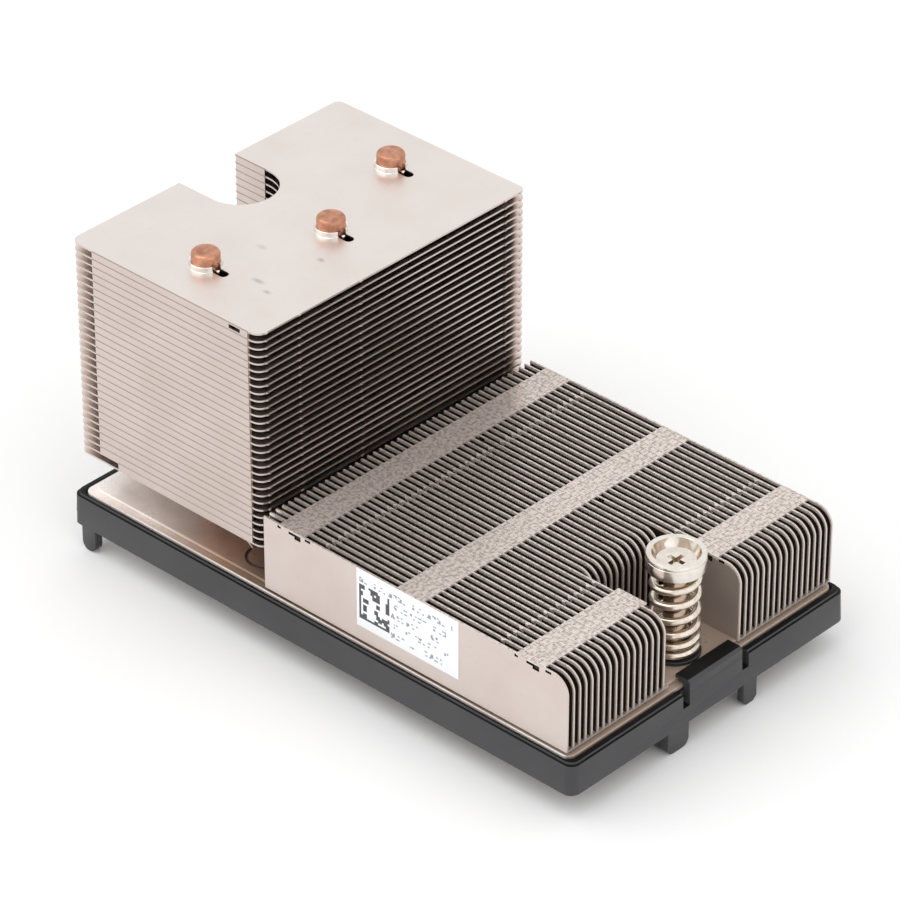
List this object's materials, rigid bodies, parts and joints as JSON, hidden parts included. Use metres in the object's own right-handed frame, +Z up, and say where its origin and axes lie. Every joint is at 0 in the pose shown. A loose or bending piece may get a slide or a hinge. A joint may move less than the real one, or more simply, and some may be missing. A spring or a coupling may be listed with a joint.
{
  "type": "passive server processor heatsink",
  "caption": "Passive two-level processor heatsink: upright heat pipes through a tall stack of plates, low folded fins, base plate in a moulded frame, captive spring screws.",
  "frame": {"origin": "centre of the flat contact face under the base, where it meets the processor", "axes": "+Z up away from the processor, +X along the long side from the tall stack towards the low fins"},
  "size_m": [0.1395, 0.0826, 0.0762],
  "materials": {
    "nickel_fin": "satin nickel",
    "nickel_base": "bright nickel plate, lightly stained",
    "copper": "satin copper",
    "black_plastic": "fine matt moulded",
    "bright_steel": "bright plated",
    "spring_steel": "bright plated",
    "black_washer": "matt",
    "clip_steel": "satin",
    "label_paper": "matt paper"
  },
  "bodies": {
    "root": {"stack_plate_01": "nickel_fin", "stack_plate_02": "nickel_fin", "stack_plate_03": "nickel_fin", "stack_plate_04": "nickel_fin", "stack_plate_05": "nickel_fin", "stack_plate_06": "nickel_fin", "stack_plate_07": "nickel_fin", "stack_plate_08": "nickel_fin", "stack_plate_09": "nickel_fin", "stack_plate_10": "nickel_fin", "stack_plate_11": "nickel_fin", "stack_plate_12": "nickel_fin", "stack_plate_13": "nickel_fin", "stack_plate_14": "nickel_fin", "stack_plate_15": "nickel_fin", "stack_plate_16": "nickel_fin", "stack_plate_17": "nickel_fin", "stack_plate_18": "nickel_fin", "stack_plate_19": "nickel_fin", "stack_plate_20": "nickel_fin", "stack_plate_21": "nickel_fin", "stack_plate_22": "nickel_fin", "stack_plate_23": "nickel_fin", "stack_plate_24": "nickel_fin", "stack_plate_25": "nickel_fin", "stack_plate_26": "nickel_fin", "stack_plate_27": "nickel_fin", "stack_plate_28": "nickel_fin", "stack_plate_29": "nickel_fin", "stack_plate_30": "nickel_fin", "heat_pipe_near": "copper", "heat_pipe_middle": "copper", "heat_pipe_far": "copper", "low_fins_near": "nickel_fin", "low_fins_middle": "nickel_fin", "low_fins_far": "nickel_fin", "base_plate": "nickel_base", "support_frame": "black_plastic", "side_label": "label_paper", "screw_washer_rear": "black_washer", "screw_washer_front": "black_washer", "screw_spring_rear": "spring_steel", "screw_spring_front": "spring_steel"},
    "clip_rear": {"screw_clip_rear": "clip_steel"},
    "screw_rear": {"retention_screw_rear": "bright_steel"},
    "clip_front": {"screw_clip_front": "clip_steel"},
    "screw_front": {"retention_screw_front": "bright_steel"}
  },
  "joints": [
    {"name": "screw_rear_travel", "type": "slide", "parent": "root", "child": "clip_rear", "axis": [0, 0, -1], "range_m": [0, 0.0048], "stiffness_N_per_m": 3000, "springref_m": -0.004, "deforming": ["screw_spring_rear"]},
    {"name": "screw_rear_turn", "type": "hinge", "parent": "clip_rear", "child": "screw_rear", "pos_m": [-0.0595, 0, 0.01], "axis": [0, 0, 1], "continuous": true},
    {"name": "screw_front_travel", "type": "slide", "parent": "root", "child": "clip_front", "axis": [0, 0, -1], "range_m": [0, 0.0048], "stiffness_N_per_m": 3000, "springref_m": -0.004, "deforming": ["screw_spring_front"]},
    {"name": "screw_front_turn", "type": "hinge", "parent": "clip_front", "child": "screw_front", "pos_m": [0.0595, 0, 0.01], "axis": [0, 0, 1], "continuous": true}
  ]
}
